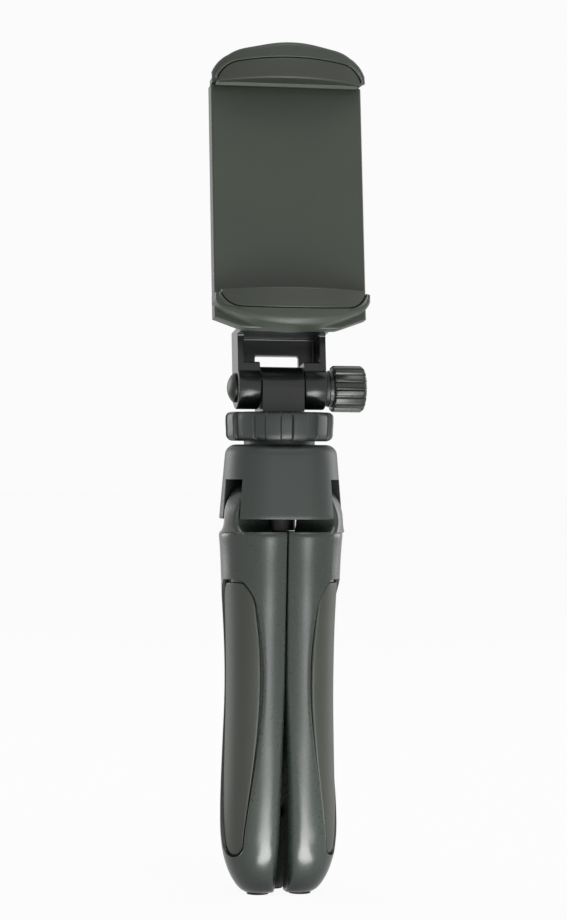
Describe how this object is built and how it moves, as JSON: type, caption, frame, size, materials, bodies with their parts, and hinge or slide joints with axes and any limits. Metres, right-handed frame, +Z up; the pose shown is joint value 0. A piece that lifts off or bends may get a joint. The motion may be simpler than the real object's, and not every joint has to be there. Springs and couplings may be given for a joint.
{
  "type": "mini tripod with phone clamp",
  "caption": "Pocket tripod whose legs fold into a handgrip, with rubber grips, a lobed lock wheel and a tilting phone clamp with a sprung sliding jaw.",
  "frame": {"origin": "on the floor under the middle of the whole folded object; the column and its mounting screw stand 1.2 mm to -X and 4.2 mm to +Y of it, because the knob and the jaws reach further out on +X and -Y", "axes": "+Z up along the column; -Y is the front, where the phone sits; +X is the tilt knob's side"},
  "size_m": [0.048, 0.0472, 0.249],
  "materials": {
    "leg_plastic": "satin black moulding",
    "grip_rubber": "matte soft rubber",
    "foot_rubber": "matte rubber",
    "hub_plastic": "fine-textured black moulding",
    "bracket_plastic": "satin black moulding",
    "clamp_plastic": "fine-textured black moulding",
    "pad_rubber": "matte soft rubber",
    "knob_plastic": "satin black moulding",
    "blackened_steel": "blackened, satin",
    "steel": "plain turned steel",
    "spring_steel": "drawn wire"
  },
  "bodies": {
    "hub": {"hub_housing": "hub_plastic", "hub_plug": "hub_plastic", "hinge_pin_1": "steel", "hinge_pin_2": "steel", "hinge_pin_3": "steel", "thrust_washer": "steel"},
    "leg_1": {"leg_1": "leg_plastic", "grip_1": "grip_rubber", "foot_1": "foot_rubber"},
    "leg_2": {"leg_2": "leg_plastic", "grip_2": "grip_rubber", "foot_2": "foot_rubber"},
    "leg_3": {"leg_3": "leg_plastic", "grip_3": "grip_rubber", "foot_3": "foot_rubber"},
    "wheel": {"lock_wheel": "hub_plastic", "mounting_screw": "steel"},
    "head": {"pan_block": "bracket_plastic"},
    "clamp": {"tilt_bracket": "bracket_plastic", "clamp_body": "clamp_plastic", "lower_jaw_pad": "pad_rubber", "rear_cover": "clamp_plastic", "cover_screws": "blackened_steel", "bracket_screws": "blackened_steel", "jaw_spring_left": "spring_steel", "jaw_spring_right": "spring_steel", "spring_anchor_pin": "steel", "tilt_bolt": "blackened_steel", "tilt_washer": "steel"},
    "knob": {"tilt_knob": "knob_plastic", "knob_nut": "steel"},
    "jaw": {"upper_jaw": "clamp_plastic", "upper_jaw_pad": "pad_rubber"}
  },
  "joints": [
    {"name": "leg_1_swing", "type": "hinge", "parent": "hub", "child": "leg_1", "pos_m": [-0.01281, -0.0025, 0.115], "axis": [-0.5, 0.866, 0], "range_deg": [0, 55]},
    {"name": "leg_2_swing", "type": "hinge", "parent": "hub", "child": "leg_2", "pos_m": [0.0104, -0.0025, 0.115], "axis": [-0.5, -0.866, 0], "range_deg": [0, 55]},
    {"name": "leg_3_swing", "type": "hinge", "parent": "hub", "child": "leg_3", "pos_m": [-0.0012, 0.0176, 0.115], "axis": [1, 0, 0], "range_deg": [0, 55]},
    {"name": "wheel_spin", "type": "hinge", "parent": "hub", "child": "wheel", "pos_m": [-0.0012, 0.0042, 0.1373], "axis": [0, 0, 1], "continuous": true},
    {"name": "head_pan", "type": "hinge", "parent": "hub", "child": "head", "pos_m": [-0.0012, 0.0042, 0.1418], "axis": [0, 0, 1], "continuous": true},
    {"name": "clamp_tilt", "type": "hinge", "parent": "head", "child": "clamp", "pos_m": [-0.0012, 0.0042, 0.1487], "axis": [1, 0, 0], "range_deg": [-75, 75]},
    {"name": "knob_spin", "type": "hinge", "parent": "clamp", "child": "knob", "pos_m": [0.0186, 0.0042, 0.1487], "axis": [1, 0, 0], "continuous": true},
    {"name": "jaw_slide", "type": "slide", "parent": "clamp", "child": "jaw", "axis": [0, 0.1392, 0.9903], "range_m": [0, 0.025], "stiffness_N_per_m": 250, "springref_m": -0.01, "deforming": ["jaw_spring_left", "jaw_spring_right"]}
  ]
}
